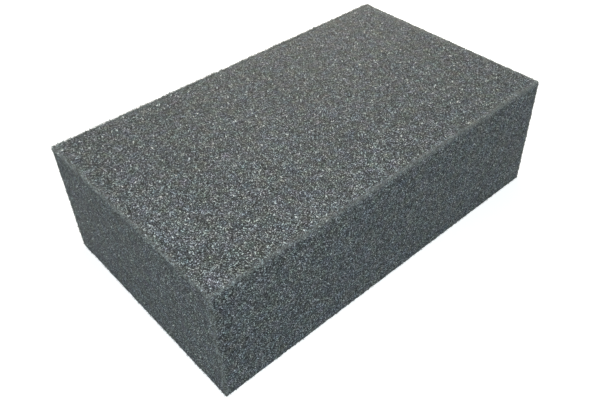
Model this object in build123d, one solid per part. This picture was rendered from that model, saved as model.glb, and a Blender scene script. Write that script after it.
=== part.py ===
from build123d import *
import os

# A cut block of open-cell foam: one plain solid that rests on its largest face.
# The origin is the middle of the bottom face, +X runs along the length, +Y along
# the width and +Z up. All sizes are in millimetres.

# The block as the knife leaves it. The cell structure is finer than these sizes.
LENGTH = 200.0
WIDTH = 118.0
HEIGHT = 61.5

# Foam can't hold a knife-sharp corner: cut cells at a corner crumble to a small round.
UPRIGHT_EDGE_RADIUS = 1.0  # the four edges where two sides meet
FACE_EDGE_RADIUS = 0.8  # the edges round the top and the bottom face


def make_foam_block():
    """The slab's outline, pulled up to its height, with its cut edges softened."""
    with BuildPart() as block:
        with BuildSketch(Plane.XY):
            RectangleRounded(LENGTH, WIDTH, UPRIGHT_EDGE_RADIUS)
        extrude(amount=HEIGHT)
        bottom_face = block.faces().sort_by(Axis.Z)[0]
        top_face = block.faces().sort_by(Axis.Z)[-1]
        fillet(bottom_face.edges() + top_face.edges(), radius=FACE_EDGE_RADIUS)
    return block.part


def main():
    os.makedirs("parts", exist_ok=True)
    export_step(make_foam_block(), "parts/foam_block.step")


main()
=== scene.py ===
# %% [markdown]
# # A cut block of open-cell foam
#
# The real thing is one piece of dark grey polyurethane foam, cut flat on all six
# sides. Nothing is printed on it and nothing on it moves. All that the eye gets
# is the foam itself: cells under a millimetre wide, which the knife has opened,
# and whose struts and torn windows catch the light.
#
# A plain box with a noise texture would look like stone. So the block is built as
# the real surface is: a closed body with pitted skin and soft edges, and on it
# the cut ends of the cells as real slivers. Colour, gloss and light come last.

import bpy
import numpy as np
from mathutils import Matrix, Vector


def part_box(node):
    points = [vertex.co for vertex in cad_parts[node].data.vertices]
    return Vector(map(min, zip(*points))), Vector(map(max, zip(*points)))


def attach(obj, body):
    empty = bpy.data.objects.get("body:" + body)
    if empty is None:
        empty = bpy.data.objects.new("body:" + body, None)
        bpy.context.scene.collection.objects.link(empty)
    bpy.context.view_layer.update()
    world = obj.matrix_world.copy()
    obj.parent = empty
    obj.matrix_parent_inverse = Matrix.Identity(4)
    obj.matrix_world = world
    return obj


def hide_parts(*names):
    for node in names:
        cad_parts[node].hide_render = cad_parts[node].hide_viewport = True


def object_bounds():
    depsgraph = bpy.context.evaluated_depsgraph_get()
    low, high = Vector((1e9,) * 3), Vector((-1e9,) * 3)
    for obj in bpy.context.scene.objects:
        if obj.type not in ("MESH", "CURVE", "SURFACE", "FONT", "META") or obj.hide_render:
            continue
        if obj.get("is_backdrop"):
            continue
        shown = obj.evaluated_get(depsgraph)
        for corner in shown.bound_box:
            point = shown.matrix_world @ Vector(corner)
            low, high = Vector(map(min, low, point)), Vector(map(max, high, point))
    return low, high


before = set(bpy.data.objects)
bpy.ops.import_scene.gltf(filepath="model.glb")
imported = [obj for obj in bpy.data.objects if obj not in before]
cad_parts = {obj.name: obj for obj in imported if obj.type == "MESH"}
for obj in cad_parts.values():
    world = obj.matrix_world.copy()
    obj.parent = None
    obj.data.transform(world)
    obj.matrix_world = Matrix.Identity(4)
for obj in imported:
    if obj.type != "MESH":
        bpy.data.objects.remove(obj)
cad_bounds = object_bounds()
print("solid from", cad_bounds[0], "to", cad_bounds[1])

# %% Read the block's size
MM = 0.001
low_corner, high_corner = (np.array(corner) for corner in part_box("foam_block"))
CENTRE = (low_corner + high_corner) / 2
HALF = (high_corner - low_corner) / 2
print("block, mm:", np.round(2 * HALF / MM, 2))

# %% [markdown]
# ## The camera
#
# The block is seen from above one corner and from close by, so its far edges look
# clearly shorter than the near ones. Such a view can be found by trial, but the
# seven visible corners of a cuboid leave one answer for the camera's place, its
# turn and its lens. These numbers are that answer, with lengths as shares of the
# block's own. The shift only puts the block where it sits in the picture.

# %% Set the camera's numbers
LENGTH = 2 * HALF[0]
AZIMUTH, ELEVATION, ROLL = np.radians([-42.01, 40.99, -1.06])
DISTANCE = 1.699 * LENGTH
AIM_RIGHT, AIM_UP = 0.0187 * LENGTH, -0.0593 * LENGTH
LENS_MM = 40.96
SHIFT = (-0.0291, -0.0205)
NEAREST_SEEN = 10 * MM


def camera_axes():
    """The camera's right, up and backward directions, each one unit long."""
    flat = np.cos(ELEVATION)
    back = np.array([np.sin(AZIMUTH) * flat, -np.cos(AZIMUTH) * flat, np.sin(ELEVATION)])
    level = np.cross([0, 0, 1], back)
    level /= np.linalg.norm(level)
    upright = np.cross(back, level)
    right = np.cos(ROLL) * level + np.sin(ROLL) * upright
    up = np.cos(ROLL) * upright - np.sin(ROLL) * level
    return right, up, back


print("camera looks along", -camera_axes()[2].round(3))


# %% Add the camera
def add_camera():
    """Puts the camera in the scene and returns its place."""
    right, up, back = camera_axes()
    place = CENTRE + AIM_RIGHT * right + AIM_UP * up + DISTANCE * back
    lens = bpy.data.cameras.new("camera")
    lens.lens = LENS_MM
    lens.shift_x, lens.shift_y = SHIFT
    lens.clip_start = NEAREST_SEEN
    camera = bpy.data.objects.new("camera", lens)
    turn = Matrix(np.column_stack([right, up, back]).tolist())
    camera.matrix_world = Matrix.Translation(Vector(place)) @ turn.to_4x4()
    bpy.context.scene.collection.objects.link(camera)
    bpy.context.scene.camera = camera
    return place


camera_place = add_camera()
print("camera at, mm:", np.round(camera_place / MM))

# %% [markdown]
# ## The body
#
# The knife leaves flat sides that meet in clear edges, only slightly softened
# because single struts bend away there. A cube with a bevel has that form, but
# each of its sides is one big face with no points to move. So the body starts as
# a fine grid on all six sides of a box, closed along the edges, which is then
# pressed onto rounded edges. At the foot, where the block's weight lies on them,
# the edges are sharper. Every grid face also gets a place of its own on a square
# chart, where the six sides lie unfolded, for baking its colours.

# %% Choose the grid
EDGE_ROUND = 0.5 * MM
FOOT_ROUND = 0.2 * MM
EDGE_STEPS = 4
GRID_PITCH = 1.15 * MM


def grid_lines(half, low_round=EDGE_ROUND):
    """Places from -half to half: close together on the round edges, evenly spaced between them."""
    turn = np.tan(np.radians(45) * np.arange(EDGE_STEPS + 1) / EDGE_STEPS)
    high = half - EDGE_ROUND + EDGE_ROUND * turn
    low = low_round - half - low_round * turn
    count = int(round((high[0] - low[0]) / GRID_PITCH))
    field = np.linspace(low[0], high[0], count + 1)[1:-1]
    return np.concatenate([low[::-1], field, high])


all_lines = [grid_lines(HALF[0]), grid_lines(HALF[1]), grid_lines(HALF[2], FOOT_ROUND)]
print("lines along x, y, z:", [len(lines) for lines in all_lines])

# %% Unfold the sides onto a chart
CHART_GAP = 1 * MM
CHART_SIDE = 326 * MM


def chart_places():
    """For each side, by axis and end: its corner on the chart, and whether it lies turned there."""
    x, y, z = 2 * HALF
    second_row, third_row = y + CHART_GAP, 2 * (y + CHART_GAP)
    column = x + CHART_GAP
    return {
        (2, 1): (0, 0, False),
        (2, 0): (0, second_row, False),
        (1, 0): (0, third_row, True),
        (0, 0): (column, 0, False),
        (0, 1): (column, z + CHART_GAP, False),
        (1, 1): (column, 2 * (z + CHART_GAP), False),
    }


print("sides on the chart:", len(chart_places()))


# %% Make the grid of one side
def side_grid(axis, end, number):
    """The quads of one side as point numbers, and the place of each of their corners on the chart."""
    u, v = (axis + 1) % 3, (axis + 2) % 3
    left, low, turned = chart_places()[axis, end]
    ring = [(0, 0), (1, 0), (1, 1), (0, 1)] if end else [(0, 0), (0, 1), (1, 1), (1, 0)]
    quads, places = [], []
    for i in range(len(all_lines[u]) - 1):
        for j in range(len(all_lines[v]) - 1):
            quad = []
            for step_u, step_v in ring:
                key = [0, 0, 0]
                key[axis] = end * (len(all_lines[axis]) - 1)
                key[u], key[v] = i + step_u, j + step_v
                place = [all_lines[u][key[u]] + HALF[u], all_lines[v][key[v]] + HALF[v]]
                place = place[::-1] if turned else place
                quad.append(number(tuple(key)))
                places.append((left + place[0], low + place[1]))
            quads.append(quad)
    return quads, places


# %% Close the six sides into one grid
def box_grid():
    """Points on the surface of the box, the quads between them and their places on the chart."""
    numbers, points = {}, []

    def number(key):
        if key not in numbers:
            numbers[key] = len(points)
            points.append([all_lines[axis][key[axis]] for axis in range(3)])
        return numbers[key]

    quads, places = [], []
    for axis in range(3):
        for end in (0, 1):
            more_quads, more_places = side_grid(axis, end, number)
            quads += more_quads
            places += more_places
    return np.array(points), np.array(quads), np.array(places) / CHART_SIDE


grid_points, grid_quads, grid_chart = box_grid()
print("grid:", len(grid_points), "points,", len(grid_quads), "quads")
print("chart is used up to", grid_chart.max(0).round(3))

# %% Press the grid onto round edges
FOOT_HEIGHT = 6 * MM  # over which the edges go from the sharp foot to their full round


def onto_round_box(points):
    """Points of the box's surface moved onto its rounded form, with their outward directions."""
    rise = np.clip((points[:, 2:] + HALF[2]) / FOOT_HEIGHT, 0, 1)
    rounding = FOOT_ROUND + (EDGE_ROUND - FOOT_ROUND) * rise
    inner = np.clip(points, rounding - HALF, HALF - rounding)
    outward = points - inner
    outward /= np.linalg.norm(outward, axis=1)[:, None]
    return inner + rounding * outward, outward


skin_points, skin_outward = onto_round_box(grid_points)
print("largest move, mm:", np.round(np.abs(skin_points - grid_points).max() / MM, 2))

# %% [markdown]
# ## Pits in the skin
#
# The knife opens every cell that it passes, so the skin is all small hollows with
# walls between them. The cells of a foam grow round seeds until they meet. The
# distances to the nearest two of many scattered seeds give the same pattern:
# where both are equal, two cells meet, and that is where a wall stands. Blender's
# Voronoi texture knows these distances too, but only inside a material, and here
# they have to move points, so they are worked out in numpy. A cell's seed comes
# from the cell's own place, so it is the same whichever point asks for it. These
# pits are as fine as the grid can carry. The finer cells are left to the material.

# %% Scatter numbers that stay the same
PLACE_FACTORS = np.array([73856093, 19349663, 83492791])
STEP_FACTOR = 374761393
MIX_FACTORS = (1274126177, 2246822519)
LOW_BITS = 0xFFFFFFFF


def fixed_numbers(cells):
    """Three even random numbers from 0 to 1 for each whole-numbered place, the same each time.

    Each place is multiplied by large odd numbers and folded onto itself, until places
    beside each other have nothing in common.
    """
    key = np.bitwise_xor.reduce(cells * PLACE_FACTORS, axis=-1)
    numbers = []
    for step in (1, 2, 3):
        mixed = (key * (2 * step + 1) + step * STEP_FACTOR) & LOW_BITS
        mixed = ((mixed ^ (mixed >> 13)) * MIX_FACTORS[0]) & LOW_BITS
        mixed = ((mixed ^ (mixed >> 16)) * MIX_FACTORS[1]) & LOW_BITS
        numbers.append((mixed ^ (mixed >> 15)) / (LOW_BITS + 1))
    return np.stack(numbers, -1)


trial_places = np.arange(3000).reshape(-1, 3)
print("mean over 1000 places:", fixed_numbers(trial_places).mean().round(3))

# %% Find the walls between cells
WALL_SLOPE = 0.5  # how much nearer than the second seed the first is where a pit's floor begins
FAR_AWAY = 9.0


def cell_walls(points, pitch):
    """1 where two cells of this pitch meet, falling to 0 inside them."""
    scaled = points / pitch
    home = np.floor(scaled).astype(np.int64)
    first, second = np.full((2, len(points)), FAR_AWAY)
    for offset in np.ndindex(3, 3, 3):
        cell = home + np.array(offset) - 1
        distance = np.linalg.norm(cell + fixed_numbers(cell) - scaled, axis=1)
        second = np.minimum(second, np.maximum(first, distance))
        first = np.minimum(first, distance)
    return 1 - np.clip((second - first) / WALL_SLOPE, 0, 1)


PIT_PITCH = 1.5 * MM
wall = cell_walls(skin_points, PIT_PITCH)
print("walls hold", round(100 * float((wall > 0.5).mean())), "% of the skin")

# %% Move the skin
PIT_DEPTH = 0.3 * MM
UNMOVED = 0.45  # the share of a wall at which the skin stays where it is
body_points = skin_points + skin_outward * (PIT_DEPTH * (wall - UNMOVED))[:, None]
body_points[:, 2] = np.maximum(body_points[:, 2], -HALF[2])
moves = (wall - UNMOVED) * PIT_DEPTH / MM
print("skin moved from", moves.min().round(3), "to", moves.max().round(3), "mm")

# %% [markdown]
# ## From corner to corner
#
# The block doesn't look the same all over. At its front left corner, close to the
# eye, the cells stand out dark and bright. Toward the back right one they run
# together, and more light comes through the edges. Five values below follow that,
# each going evenly from one corner to the other by the same small function. They
# carry painted light: the painted glints and shade of the cells are strongest at
# the front left, and the painted light in the edges is greatest at the back right.

# %% Change a value from corner to corner
def between(places, near, far):
    """A number that goes evenly from near, at the front left corner, to far, at the back right one."""
    way = ((places / HALF)[:, 0] + (places / HALF)[:, 1] + 2) / 4
    return near + (far - near) * np.clip(way, 0, 1)


print("from 1 to 2, the middle has", between(np.zeros((1, 3)), 1, 2)[0])

# %% [markdown]
# ## Light in the edges
#
# Foam is mostly air, so light soaks a millimetre or so into it. In the flat of
# a side that only softens the shadows, but an edge gets light from two sides and
# looks a little paler than the rest. A renderer can follow that light through the
# foam, but slowly and with much noise. So that light is painted: a number for each
# place, greatest on an edge and 0 far from one, adds light to the colour. Upright
# edges get half as much of it as the top ones. The bottom edges lie in the dark
# and have none.

# %% Say how much painted light each place gets
SOAK = (0.7 * MM, 1.4 * MM)  # how deep the painted light goes, at the front left and the back right
EDGE_LIGHT = (0.5, 0.9)  # how much painted light a top edge gets there
UPRIGHT = 0.5
VISIBLY_PALE = 0.1


def paleness(points):
    """The painted edge light: from 0 in the middle of a side to the most on the top and upright edges, and
    never past 1.
    """
    x, y, z = points.T
    gaps = np.stack([HALF[0] - abs(x), HALF[1] - abs(y), HALF[2] - z])
    across, along, over = np.exp(-np.maximum(gaps, 0) / between(points, *SOAK))
    edges = over * (along + across) + UPRIGHT * along * across
    return np.clip(edges * between(points, *EDGE_LIGHT), 0, 1)


body_painted_light = paleness(skin_points)
print("pale share of the grid:", round(100 * float((body_painted_light > VISIBLY_PALE).mean())), "%")

# %% [markdown]
# ## From numbers to a mesh
#
# Blender can add a mesh's points one by one or take them as whole arrays. The
# block has close to a million, so every piece is handed over as arrays: its
# points, the corners of its faces, and the place of each corner on the chart. The
# body also gets two numbers for each point, its painted edge light and the
# contrast of its painted glints and shade, which its material reads.

# %% Make an object of points and faces
def new_object(name, points, faces, chart, smooth):
    """Puts a mesh with these points, measured from the block's centre, into the scene."""
    mesh = bpy.data.meshes.new(name)
    mesh.vertices.add(len(points))
    mesh.vertices.foreach_set("co", (points + CENTRE).astype(np.float32).ravel())
    corners = faces.shape[1]
    mesh.loops.add(faces.size)
    mesh.loops.foreach_set("vertex_index", faces.ravel().astype(np.int32))
    mesh.polygons.add(len(faces))
    mesh.polygons.foreach_set("loop_start", np.arange(len(faces), dtype=np.int32) * corners)
    mesh.polygons.foreach_set("use_smooth", np.full(len(faces), smooth))
    mesh.update(calc_edges=True)
    layer = mesh.uv_layers.new(name="OFBake")
    layer.uv.foreach_set("vector", chart.astype(np.float32).ravel())
    made = bpy.data.objects.new(name, mesh)
    bpy.context.scene.collection.objects.link(made)
    print(name, "has", len(faces) * (corners - 2), "triangles")
    return made


def add_numbers(piece, name, values):
    """Gives each point of a piece a number that a material can read by this name."""
    attribute = piece.data.attributes.new(name, "FLOAT", "POINT")
    attribute.data.foreach_set("value", values.astype(np.float32))


# %% Make the body
BODY_CONTRAST = (1.0, 0.75)  # spread of the cells' painted glints and shade, at the front left and the back right
foam_body = new_object("foam_body", body_points, grid_quads, grid_chart, True)
add_numbers(foam_body, "paleness", body_painted_light)
add_numbers(foam_body, "contrast", between(body_points, *BODY_CONTRAST))
print("body carries:", "paleness up to", body_painted_light.max().round(2), "and contrast", BODY_CONTRAST)

# %% [markdown]
# ## The cut ends of the cells
#
# What sparkles on cut foam is what the knife leaves standing: ends of struts and
# bits of cell windows, a few tenths of a millimetre tall, each at a lean of its
# own. Hair curves could stand in for them, but they are round, and it is flat
# faces that flash. So each end is a small closed wedge with four faces, standing
# in the skin. Their shade, whose bright end is a painted glint, changes from one
# to the next much more than the light does. That is why each also gets a place on
# a small chart of its own: from left to right its shade, and from bottom to top
# how much painted edge light it takes.

# %% Choose where ends stand on the sides
UNDERSIDE = 0.3  # how densely the bottom is set, which is mostly out of sight


def on_sides(count, draw):
    """Places spread evenly over the six sides, fewer on the bottom, and their outward directions."""
    area = np.repeat(HALF.prod() / HALF, 2) * [1, 1, 1, 1, UNDERSIDE, 1]
    side = draw.choice(6, count, p=area / area.sum())
    axis, end = side // 2, 2 * (side % 2) - 1
    rows = np.arange(count)
    places = draw.uniform(-1, 1, (count, 3)) * HALF
    places[rows, axis] = HALF[axis] * end
    outward = np.zeros((count, 3))
    outward[rows, axis] = end
    return places, outward


print("areas of the sides, mm2:", np.round(4 * HALF.prod() / HALF / MM**2))

# %% Shape the ends
THICKNESS = (0.06 * MM, 0.12 * MM)
BACK_HEIGHT = 0.3  # where the corner on a wedge's back is, as a share of its height


def unit(directions):
    """The same directions, each with length 1."""
    return directions / np.linalg.norm(directions, axis=1)[:, None]


def wedge_points(foot, outward, tall, wide, lean, draw, facing=0, narrow_end="tip"):
    """Four corners for each wedge: two at its wide end, one on its back, one at its narrow end.

    A greater lean tips it further from straight outward, and a greater facing turns its
    flat side more to the outside.
    """
    count = len(foot)
    along = unit(outward + lean * unit(draw.normal(size=(count, 3))))
    side = unit(np.cross(along, unit(draw.normal(size=(count, 3))) + facing * outward))
    flat = np.cross(along, side)
    thick = draw.uniform(*THICKNESS, (count, 1))
    skew = draw.uniform(-0.5, 0.5, (count, 1)) * wide
    tip = foot + along * tall
    broad, narrow = (foot, tip) if narrow_end == "tip" else (tip, foot)
    corners = [
        broad - side * wide / 2,
        broad + side * wide / 2,
        foot + flat * thick + along * tall * BACK_HEIGHT,
        narrow + side * skew,
    ]
    if narrow_end != "tip":
        corners[0], corners[1] = corners[1], corners[0]
    points = np.stack(corners, 1).reshape(-1, 3)
    points[:, 2] = np.maximum(points[:, 2], -HALF[2])
    return points


# %% Close each wedge and place it on its chart
PATCH_WIDTH, PATCH_HEIGHT = 0.004, 0.01
CHART_RIM = 0.01


def wedge_faces(count):
    """The four faces of each wedge, turned outward."""
    faces = np.array([[0, 1, 3], [1, 2, 3], [2, 0, 3], [0, 2, 1]])
    return (np.arange(count)[:, None, None] * 4 + faces).reshape(-1, 3)


def wedge_chart(shade, pale, faces):
    """Each wedge as a tiny patch: its shade from left to right, its painted edge light from bottom to top.
    """
    across = shade[:, None] + PATCH_WIDTH * np.array([-0.5, 0.5, 0, 0])
    room = 1 - 4 * CHART_RIM
    upward = CHART_RIM + room * pale[:, None] + PATCH_HEIGHT * np.array([0, 0, 0.5, 1])
    return np.stack([across, upward], -1).reshape(-1, 2)[faces.ravel()]


print("faces of one wedge:", len(wedge_faces(1)))

# %% Give each wedge its shade
CONTRAST = (1.35, 0.6)  # spread of the ends' shades and painted glints, at the front left and the back right
DARKEST, BRIGHTEST = 0.01, 0.96


def wedge_shade(foot, draw, painted_lift=0.0):
    """A number from 0, dark, to 1, bright, for each wedge. Its bright end is a painted glint, and the lift
    adds painted light.
    """
    spread = between(foot, *CONTRAST) * draw.uniform(-0.5, 0.5, len(foot))
    return np.clip(np.clip(0.5 + spread, DARKEST, BRIGHTEST) + painted_lift, DARKEST, BRIGHTEST)


print("shades from", DARKEST, "to", BRIGHTEST)

# %% [markdown]
# Most ends are thinner than the eye can part. A few in a hundred are whole cell
# windows: two or three times as large, turned more to the outside, and painted
# the brightest of all, a painted glint over their own gloss. These are the single
# sparks, and the top shows them best.

# %% Set the ends on the sides
PIECES = 4
ENDS_IN_PIECE = 41_000
END_TALL = (0.2 * MM, 0.36 * MM)
END_WIDE = (0.12 * MM, 0.28 * MM)
END_SUNK = 0.12 * MM
END_LEAN = 1.3
WINDOWS = (0.035, 0.02)  # their share, and so that of the painted glints, at the front left and the back right
WINDOW_SIZE = (1.8, 3.0)
TOP_WINDOWS = 1.5  # how much larger they are on the top
WINDOW_FACING = 3
# a painted glint: past the ramp's last stop, so the window is plain white
WINDOW_GLINT_SHADE = 0.985


def side_ends(name, seed):
    """One object with cut ends spread over all sides."""
    draw = np.random.default_rng(seed)
    foot, outward = on_sides(ENDS_IN_PIECE, draw)
    column = (ENDS_IN_PIECE, 1)
    window = draw.random(column) < between(foot, *WINDOWS)[:, None]
    size = np.where(window, draw.uniform(*WINDOW_SIZE, column), 1.0)
    size = np.where(window & (outward[:, 2:] > 0), TOP_WINDOWS * size, size)
    tall = draw.uniform(*END_TALL, column) * size
    wide = draw.uniform(*END_WIDE, column) * size
    sunk = foot - END_SUNK * outward
    points = wedge_points(sunk, outward, tall, wide, END_LEAN, draw, WINDOW_FACING * window)
    shade = np.where(window[:, 0], WINDOW_GLINT_SHADE, wedge_shade(foot, draw))
    faces = wedge_faces(ENDS_IN_PIECE)
    return new_object(name, points, faces, wedge_chart(shade, paleness(foot), faces), False)


cut_ends = [side_ends(f"cut_struts_{number + 1}", number) for number in range(PIECES)]

# %% [markdown]
# ## The struts in the edges
#
# Along the edges nothing holds the outermost cells, so their struts spread and
# stand out further. They are what makes the outline of foam soft. They are the
# same wedges, but turned round: narrow in the skin and broad at the tip, which
# looks ragged against the background. They stand in the two faces beside the
# edge, on the rounded surface. At the foot, which the block's weight presses
# flat, only a few stand level.

# %% Choose where struts stand in the edges
EDGE_REACH = 1.4 * MM


def in_edges(count, draw):
    """Places in the faces that meet at each top and upright edge, most of them close to the edge."""
    lengths = np.array([2 * HALF[0], 2 * HALF[1], 4 * HALF[2]])
    axis = draw.choice(3, count, p=lengths / lengths.sum())
    rows = np.arange(count)
    face = (axis + draw.integers(1, 3, count)) % 3
    other = 3 - axis - face
    ends = draw.choice([-1.0, 1.0], (count, 3))
    ends[axis != 2, 2] = 1
    inward = EDGE_REACH * (1 - np.sqrt(draw.random(count)))
    rounding = np.maximum(EDGE_ROUND - inward, 0)
    drop = EDGE_ROUND - np.sqrt(EDGE_ROUND**2 - rounding**2)
    places = draw.uniform(-1, 1, (count, 3)) * (HALF - EDGE_ROUND)
    places[rows, face] = ends[rows, face] * (HALF[face] - drop)
    places[rows, other] = ends[rows, other] * (HALF[other] - inward)
    outward = np.zeros((count, 3))
    outward[rows, face] = ends[rows, face]
    return places, outward


print("top and upright edges, mm:", round((4 * HALF[0] + 4 * HALF[1] + 8 * HALF[2]) / MM))

# %% Choose where struts stand at the foot
FOOT_BAND = (0.1 * MM, 0.6 * MM)


def at_foot(count, draw):
    """Places just above the bottom edges, with level outward directions."""
    side = (draw.random(count) < HALF[0] / (HALF[0] + HALF[1])).astype(int)
    rows = np.arange(count)
    outward = np.zeros((count, 3))
    outward[rows, side] = draw.choice([-1.0, 1.0], count)
    places = draw.uniform(-1, 1, (count, 3)) * HALF
    places[rows, side] = outward[rows, side] * HALF[side]
    places[:, 2] = draw.uniform(*FOOT_BAND, count) - HALF[2]
    return places, outward


print("bottom edges, mm:", round((4 * HALF[0] + 4 * HALF[1]) / MM))

# %% Set the struts in the edges
EDGE_PIECES = 2
EDGE_SEED = 77
EDGE_ENDS = 15_500
FOOT_ENDS = 2_000
EDGE_TALL = (0.3 * MM, 0.85 * MM)
EDGE_WIDE = (0.15 * MM, 0.35 * MM)
EDGE_SUNK = 0.1 * MM
EDGE_LEAN = 1.6
EDGE_PAINTED_LIFT = 0.05  # painted light: how much brighter their shade is than that of the ends on the sides
RAGGED = 1.8  # how much longer they are along the top edge at the back


def edge_ends(name, seed):
    """One object with the looser struts in the edges."""
    draw = np.random.default_rng(seed)
    foot, outward = map(np.concatenate, zip(in_edges(EDGE_ENDS, draw), at_foot(FOOT_ENDS, draw)))
    count = len(foot)
    tall = draw.uniform(*EDGE_TALL, (count, 1))
    back_top = (foot[:, 1:] > HALF[1:] - EDGE_REACH).all(axis=1)
    tall[back_top] *= RAGGED
    wide = draw.uniform(*EDGE_WIDE, (count, 1))
    sunk = foot - EDGE_SUNK * outward
    points = wedge_points(sunk, outward, tall, wide, EDGE_LEAN, draw, narrow_end="foot")
    shade = wedge_shade(foot, draw, EDGE_PAINTED_LIFT)
    faces = wedge_faces(count)
    return new_object(name, points, faces, wedge_chart(shade, paleness(foot), faces), False)


edge_struts = [edge_ends(f"edge_struts_{number + 1}", EDGE_SEED + number) for number in range(EDGE_PIECES)]

# %% [markdown]
# ## Node groups
#
# The body, the cut ends and the struts have a material each. All of them take
# painted light toward the edges. They also drift a little in colour, as carbon
# and dye are never spread evenly in foam. A group keeps each effect in one place,
# so that all the materials change alike.

# %% Wire nodes with fewer words
def add_node(tree, kind, settings=None, **inputs):
    """A new node with its settings and inputs, each input a value or another node's output."""
    node = tree.nodes.new(kind)
    for name, value in (settings or {}).items():
        setattr(node, name, value)
    for name, value in inputs.items():
        socket = node.inputs[int(name[1:]) if name[0] == "_" else name.replace("_", " ")]
        if isinstance(value, bpy.types.NodeSocket):
            tree.links.new(value, socket)
        else:
            socket.default_value = value
    return node


def new_group(name, inputs, output):
    """An empty shader node group with these inputs and one output."""
    group = bpy.data.node_groups.new(name, "ShaderNodeTree")
    for label, kind in inputs.items():
        group.interface.new_socket(label, in_out="INPUT", socket_type=kind)
    group.interface.new_socket(output, in_out="OUTPUT", socket_type="NodeSocketColor")
    given = group.nodes.new("NodeGroupInput").outputs
    result = group.nodes.new("NodeGroupOutput").inputs
    return group, given, result


def place_group(tree, group, **inputs):
    """The output of a group that is placed in a material's tree with these inputs."""
    return add_node(tree, "ShaderNodeGroup", {"node_tree": group}, **inputs).outputs[0]


# %% Group: painted edge light
PAINTED_LIGHT_ADDS = (0.19, 0.19, 0.182)  # what the painted light at its fullest adds to red, green and blue


def make_painted_light_group():
    """Paints a thin and nearly grey light onto a colour, more where the painted edge light is greater."""
    kinds = {"Colour": "NodeSocketColor", "Paleness": "NodeSocketFloat"}
    group, given, result = new_group("painted_light_group", kinds, "Colour")
    vector = "ShaderNodeVectorMath"
    light = add_node(group, vector, {"operation": "SCALE"}, _0=PAINTED_LIGHT_ADDS, Scale=given["Paleness"])
    lit = add_node(group, vector, {"operation": "ADD"}, _0=given["Colour"], _1=light.outputs[0])
    group.links.new(lit.outputs[0], result["Colour"])
    return group


painted_light_group = make_painted_light_group()
print("group:", painted_light_group.name, [socket.name for socket in painted_light_group.interface.items_tree])

# %% Group: drifting colour
GREY = (0.5, 0.5, 0.5)
DRIFT_WEIGHTS = (1.0, 0.5, 1.3)  # how far red, green and blue go


def colour_drift_group():
    """Turns a colour slightly toward blue, violet or olive, by a noise over the given places."""
    kinds = {"Colour": "NodeSocketColor", "Where": "NodeSocketVector", "Amount": "NodeSocketFloat"}
    group, given, result = new_group("colour_drift", kinds, "Colour")
    vector = "ShaderNodeVectorMath"
    noise = add_node(group, "ShaderNodeTexNoise", Vector=given["Where"], Scale=1.0, Detail=1.0)
    centred = add_node(group, vector, {"operation": "SUBTRACT"}, _0=noise.outputs["Color"], _1=GREY)
    weighed = add_node(group, vector, {"operation": "MULTIPLY"}, _0=centred.outputs[0], _1=DRIFT_WEIGHTS)
    scaled = add_node(group, vector, {"operation": "SCALE"}, _0=weighed.outputs[0], Scale=given["Amount"])
    factor = add_node(group, vector, {"operation": "ADD"}, _0=scaled.outputs[0], _1=(1, 1, 1))
    turned = add_node(group, vector, {"operation": "MULTIPLY"}, _0=given["Colour"], _1=factor.outputs[0])
    group.links.new(turned.outputs[0], result["Colour"])
    return group


colour_drift = colour_drift_group()
print("group:", colour_drift.name, [socket.name for socket in colour_drift.interface.items_tree])

# %% [markdown]
# ## The body's material
#
# Each cell shows the camera another bit of its inside: a dark hole, a grey strut
# or a pale window. A Voronoi texture gives every cell a random number, and a ramp
# turns that into a shade, mostly dark with a few bright ones. Its darkest shades
# are painted shade in the holes, and its brightest are painted glints. Before the
# ramp, the body's contrast number pulls the numbers together toward the back
# right corner, where the cells run together. The same cells roughen the surface a
# little, and their gloss varies as well. A plain noise has no such steps between
# neighbours and looks blurred from close by.

# %% Turn a number into a foam shade
FOAM_TINT = np.array([1.0, 1.11, 1.17])


def shade_ramp(tree, stops, number):
    """A colour ramp through these (number, shade) stops, tinted like the foam."""
    ramp = add_node(tree, "ShaderNodeValToRGB", Fac=number)
    elements = ramp.color_ramp.elements
    while len(elements) < len(stops):
        elements.new(0.5)
    for element, (place, shade) in zip(elements, stops):
        element.position = place
        element.color = (*(shade * FOAM_TINT).clip(0, 1), 1)
    return ramp.outputs["Color"]


print("foam tint:", FOAM_TINT)

# %% Set the body's looks
CELL_SIZE = 0.32 * MM
CELL_DEPTH = 0.3 * MM
CELL_BUMP = 0.8
DRIFT = 0.38  # how strongly the colour drifts, in all the foam's materials
DRIFT_SIZE = 4 * MM
MIDDLE = 0.745  # the number that keeps its shade whatever the contrast
# the dark end paints shade in the holes, the bright end paints glints
BODY_SHADES = [(0.0, 0.004), (0.3, 0.015), (0.5, 0.044), (0.75, 0.12), (0.9, 0.28), (1.0, 0.9)]
BODY_ROUGHNESS = (0.6, 0.95)
BODY_SPECULAR = 0.3
print("body cells:", CELL_SIZE / MM, "mm")


# %% Make the body's material
def faded_number(tree, number):
    """The cells' number pulled toward the middle one by the body's contrast."""
    contrast = add_node(tree, "ShaderNodeAttribute", {"attribute_name": "contrast"}).outputs["Fac"]
    centred = add_node(tree, "ShaderNodeMath", {"operation": "SUBTRACT"}, _0=number, _1=MIDDLE)
    scaled = {"operation": "MULTIPLY_ADD"}
    faded = add_node(tree, "ShaderNodeMath", scaled, _0=centred.outputs[0], _1=contrast, _2=MIDDLE)
    return faded.outputs[0]


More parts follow.
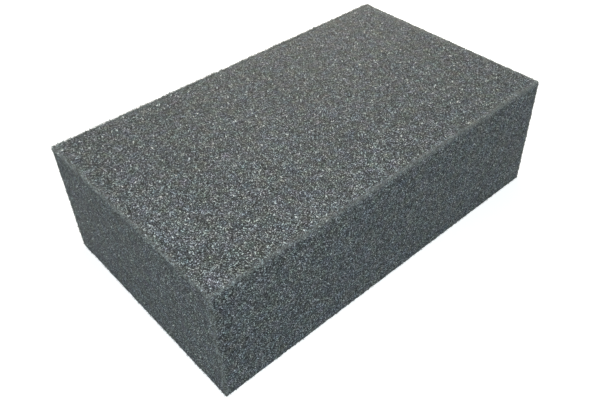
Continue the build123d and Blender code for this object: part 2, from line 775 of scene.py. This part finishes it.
def body_material():
    """Dark cells with painted shade in the holes and a few painted glints, pitted, with painted edge light
    and calmer at the far corner.
    """
    material = bpy.data.materials.new("foam_body")
    material.use_nodes = True
    tree = material.node_tree
    place = add_node(tree, "ShaderNodeTexCoord").outputs["Object"]
    cells = add_node(tree, "ShaderNodeTexVoronoi", Vector=place, Scale=1 / CELL_SIZE).outputs
    number = add_node(tree, "ShaderNodeSeparateColor", Color=cells["Color"]).outputs
    shade = shade_ramp(tree, BODY_SHADES, faded_number(tree, number["Red"]))
    where = add_node(tree, "ShaderNodeVectorMath", {"operation": "SCALE"}, _0=place, Scale=1 / DRIFT_SIZE)
    drifted = place_group(tree, colour_drift, Colour=shade, Where=where.outputs[0], Amount=DRIFT)
    pale = add_node(tree, "ShaderNodeAttribute", {"attribute_name": "paleness"}).outputs["Fac"]
    lit = place_group(tree, painted_light_group, Colour=drifted, Paleness=pale)
    smooth, rough = BODY_ROUGHNESS
    gloss = add_node(tree, "ShaderNodeMapRange", Value=number["Green"], To_Min=smooth, To_Max=rough)
    pits = add_node(
        tree, "ShaderNodeBump", Strength=CELL_BUMP, Distance=CELL_DEPTH, Height=cells["Distance"]
    )
    shader = tree.nodes["Principled BSDF"].inputs
    shader["Specular IOR Level"].default_value = BODY_SPECULAR
    tree.links.new(lit, shader["Base Color"])
    tree.links.new(gloss.outputs[0], shader["Roughness"])
    tree.links.new(pits.outputs[0], shader["Normal"])
    return material


foam_body.data.materials.append(body_material())
print("body's material:", foam_body.data.materials[0].name)

# %% [markdown]
# ## The materials of the cut ends and the struts
#
# A cell window is a thin clear film and a strut is a smooth thread, so both gloss
# far more than the mass behind them, and a little light passes through them. The
# Principled BSDF gives colour and gloss, and a share of Translucent BSDF lets the
# light behind through. The chart on each wedge says which shade it takes, painted
# glints among them, and how much painted edge light it gets. Ends and struts
# differ only in how much light passes, so one function makes both.

# %% Set the looks of ends and struts
# the bright end of this ramp paints glints
END_SHADES = [
    (0.0, 0.01), (0.3, 0.02), (0.5, 0.06), (0.7, 0.16), (0.85, 0.38), (0.96, 0.66), (0.98, 1.0)
]
END_ROUGHNESS = (0.55, 0.22)  # of the darkest and the brightest
END_SPECULAR = 0.6
FILM_COLOUR = (0.8, 0.82, 0.76, 1)
DRIFT_ALONG_CHART = (45, 0, 0)
print("shades in the ends' ramp:", len(END_SHADES))


# %% Make the materials of ends and struts
def end_material(name, light_through):
    """Each wedge in its own shade, the brightest a painted glint and glossier, with painted edge light and
    a share of light through all.
    """
    material = bpy.data.materials.new(name)
    material.use_nodes = True
    tree = material.node_tree
    chart = add_node(tree, "ShaderNodeUVMap", {"uv_map": "OFBake"}).outputs["UV"]
    number = add_node(tree, "ShaderNodeSeparateXYZ", Vector=chart).outputs
    shade = shade_ramp(tree, END_SHADES, number["X"])
    stretched = {"operation": "MULTIPLY"}
    where = add_node(tree, "ShaderNodeVectorMath", stretched, _0=chart, _1=DRIFT_ALONG_CHART)
    drifted = place_group(tree, colour_drift, Colour=shade, Where=where.outputs[0], Amount=DRIFT)
    # the chart's height carries the painted edge light
    lit = place_group(tree, painted_light_group, Colour=drifted, Paleness=number["Y"])
    dull, glossy = END_ROUGHNESS
    gloss = add_node(tree, "ShaderNodeMapRange", Value=number["X"], To_Min=dull, To_Max=glossy)
    shader = tree.nodes["Principled BSDF"]
    shader.inputs["Specular IOR Level"].default_value = END_SPECULAR
    tree.links.new(lit, shader.inputs["Base Color"])
    tree.links.new(gloss.outputs[0], shader.inputs["Roughness"])
    film = add_node(tree, "ShaderNodeBsdfTranslucent", Color=FILM_COLOUR).outputs[0]
    both = add_node(tree, "ShaderNodeMixShader", Fac=light_through, _1=shader.outputs[0], _2=film)
    tree.links.new(both.outputs[0], tree.nodes["Material Output"].inputs["Surface"])
    return material


cut_end_material = end_material("cut_ends", light_through=0.2)
edge_material = end_material("edge_struts", light_through=0.3)
for piece in cut_ends:
    piece.data.materials.append(cut_end_material)
for piece in edge_struts:
    piece.data.materials.append(edge_material)
print("materials:", [material.name for material in (cut_end_material, edge_material)])

# %% [markdown]
# ## Join the pieces to the part
#
# The body takes the place of the plain solid, and every piece moves with the
# block's one body, so they stay together wherever the part is used.

# %% Join the pieces
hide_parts("foam_block")
for piece in [foam_body, *cut_ends, *edge_struts]:
    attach(piece, "root")
print("pieces:", 1 + len(cut_ends) + len(edge_struts))

# %% [markdown]
# ## Floor and surroundings
#
# The block lies on a plain white ground with nothing round it. Lighting a white
# floor until it clips would also flood the block with light from below. Instead
# the floor and the world give the block a plain soft light, and only what the
# camera sees of them is raised to white. The floor is raised just so far that
# open ground is white and the block's shadow still shows beside it.

# %% Count the rays that see the backdrop
def seen_directly(tree):
    """1 for the camera's own rays and for those that mirrors and glass pass on, else 0."""
    path = add_node(tree, "ShaderNodeLightPath").outputs
    larger = {"operation": "MAXIMUM"}
    some = add_node(tree, "ShaderNodeMath", larger, _0=path["Is Camera Ray"], _1=path["Is Glossy Ray"])
    every = add_node(tree, "ShaderNodeMath", larger, _0=some.outputs[0], _1=path["Is Transmission Ray"])
    return every.outputs[0]


# %% Lay the floor
FLOOR_REACH = 6.0
FLOOR_DROP = 0.05 * MM  # so that the floor and the block's bottom don't share a plane
FLOOR_GLOW = 0.63
PAPER = (0.85, 0.85, 0.85, 1)


def add_floor():
    """A wide white plane just under the block."""
    mesh = bpy.data.meshes.new("floor")
    far = FLOOR_REACH
    mesh.from_pydata([(-far, -far, 0), (far, -far, 0), (far, far, 0), (-far, far, 0)], [], [(0, 1, 2, 3)])
    floor = bpy.data.objects.new("floor", mesh)
    floor.location.z = -FLOOR_DROP
    bpy.context.scene.collection.objects.link(floor)
    floor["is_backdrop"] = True
    return floor


def floor_material():
    """White paper that also glows where it is seen directly."""
    material = bpy.data.materials.new("floor")
    material.use_nodes = True
    tree = material.node_tree
    tree.nodes.remove(tree.nodes["Principled BSDF"])
    paper = add_node(tree, "ShaderNodeBsdfDiffuse", Color=PAPER)
    product = {"operation": "MULTIPLY"}
    strength = add_node(tree, "ShaderNodeMath", product, _0=seen_directly(tree), _1=FLOOR_GLOW)
    glow = add_node(tree, "ShaderNodeEmission", Strength=strength.outputs[0])
    both = add_node(tree, "ShaderNodeAddShader", _0=paper.outputs[0], _1=glow.outputs[0])
    tree.links.new(both.outputs[0], tree.nodes["Material Output"].inputs["Surface"])
    return material


floor = add_floor()
floor.data.materials.append(floor_material())
print("floor reaches", FLOOR_REACH, "m each way")

# %% Light the surroundings
ROOM_LIGHT = 0.48
ROOM_COLOUR = (0.87, 1.01, 1.03, 1)
WHITE = (1, 1, 1, 1)


def add_world():
    """Even light from all round, and a white backdrop where it is seen directly."""
    world = bpy.data.worlds.new("studio")
    world.use_nodes = True
    bpy.context.scene.world = world
    tree = world.node_tree
    soft = tree.nodes["Background"]
    soft.inputs["Color"].default_value = ROOM_COLOUR
    soft.inputs["Strength"].default_value = ROOM_LIGHT
    white = add_node(tree, "ShaderNodeBackground", Color=WHITE, Strength=1.0).outputs[0]
    both = add_node(tree, "ShaderNodeMixShader", Fac=seen_directly(tree), _1=soft.outputs[0], _2=white)
    tree.links.new(both.outputs[0], tree.nodes["World Output"].inputs["Surface"])


add_world()
print("room light:", ROOM_LIGHT)

# %% [markdown]
# ## Lamps
#
# Two lamps shape the block. A warm one hangs over and behind its back right
# corner, near enough that the top is brightest there and fades toward the front.
# A small cool one stands just over the camera. Being small, it makes the flat
# faces of the cut ends flash, most of all at the near corner, where the real
# block sparkles most. The Standard view shows each colour as it is written.

# %% Add the lamps
FRONT_LAMP_RISE = 60 * MM  # over the camera
COOL = (0.87, 0.94, 1.0)
FAR_LAMP_PLACE = (0.19, 0.27, 0.3)
FAR_LAMP_TARGET = (0.05, 0.02, 0.06)
WARM = (1.0, 0.88, 0.75)


def add_lamp(name, place, target, size, watts, colour):
    """A round lamp that faces the target."""
    light = bpy.data.lights.new(name, "AREA")
    light.shape = "DISK"
    light.size = size
    light.energy = watts
    light.color = colour
    lamp = bpy.data.objects.new(name, light)
    way = Vector(target) - Vector(place)
    lamp.location = place
    lamp.rotation_euler = way.to_track_quat("-Z", "Y").to_euler()
    bpy.context.scene.collection.objects.link(lamp)
    print(name, "is", round(way.length / MM), "mm from what it faces")


front_lamp_place = camera_place + FRONT_LAMP_RISE * camera_axes()[1]
add_lamp("front_lamp", front_lamp_place, CENTRE, size=0.05, watts=0.32, colour=COOL)
add_lamp("far_lamp", FAR_LAMP_PLACE, FAR_LAMP_TARGET, size=0.2, watts=1.45, colour=WARM)
bpy.context.scene.view_settings.view_transform = "Standard"

# %% [markdown]
# ## The sizes
#
# The dressed block may stand a few millimetres proud of the solid. Both sizes
# are printed below.

# %% Print the sizes and finish
boxes = {"cad": cad_bounds, "visual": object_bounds()}
boxes = {name: [[float(number) for number in corner] for corner in box] for name, box in boxes.items()}
for name, (low, high) in boxes.items():
    print(name, "size, mm:", np.round((np.array(high) - low) / MM, 2))
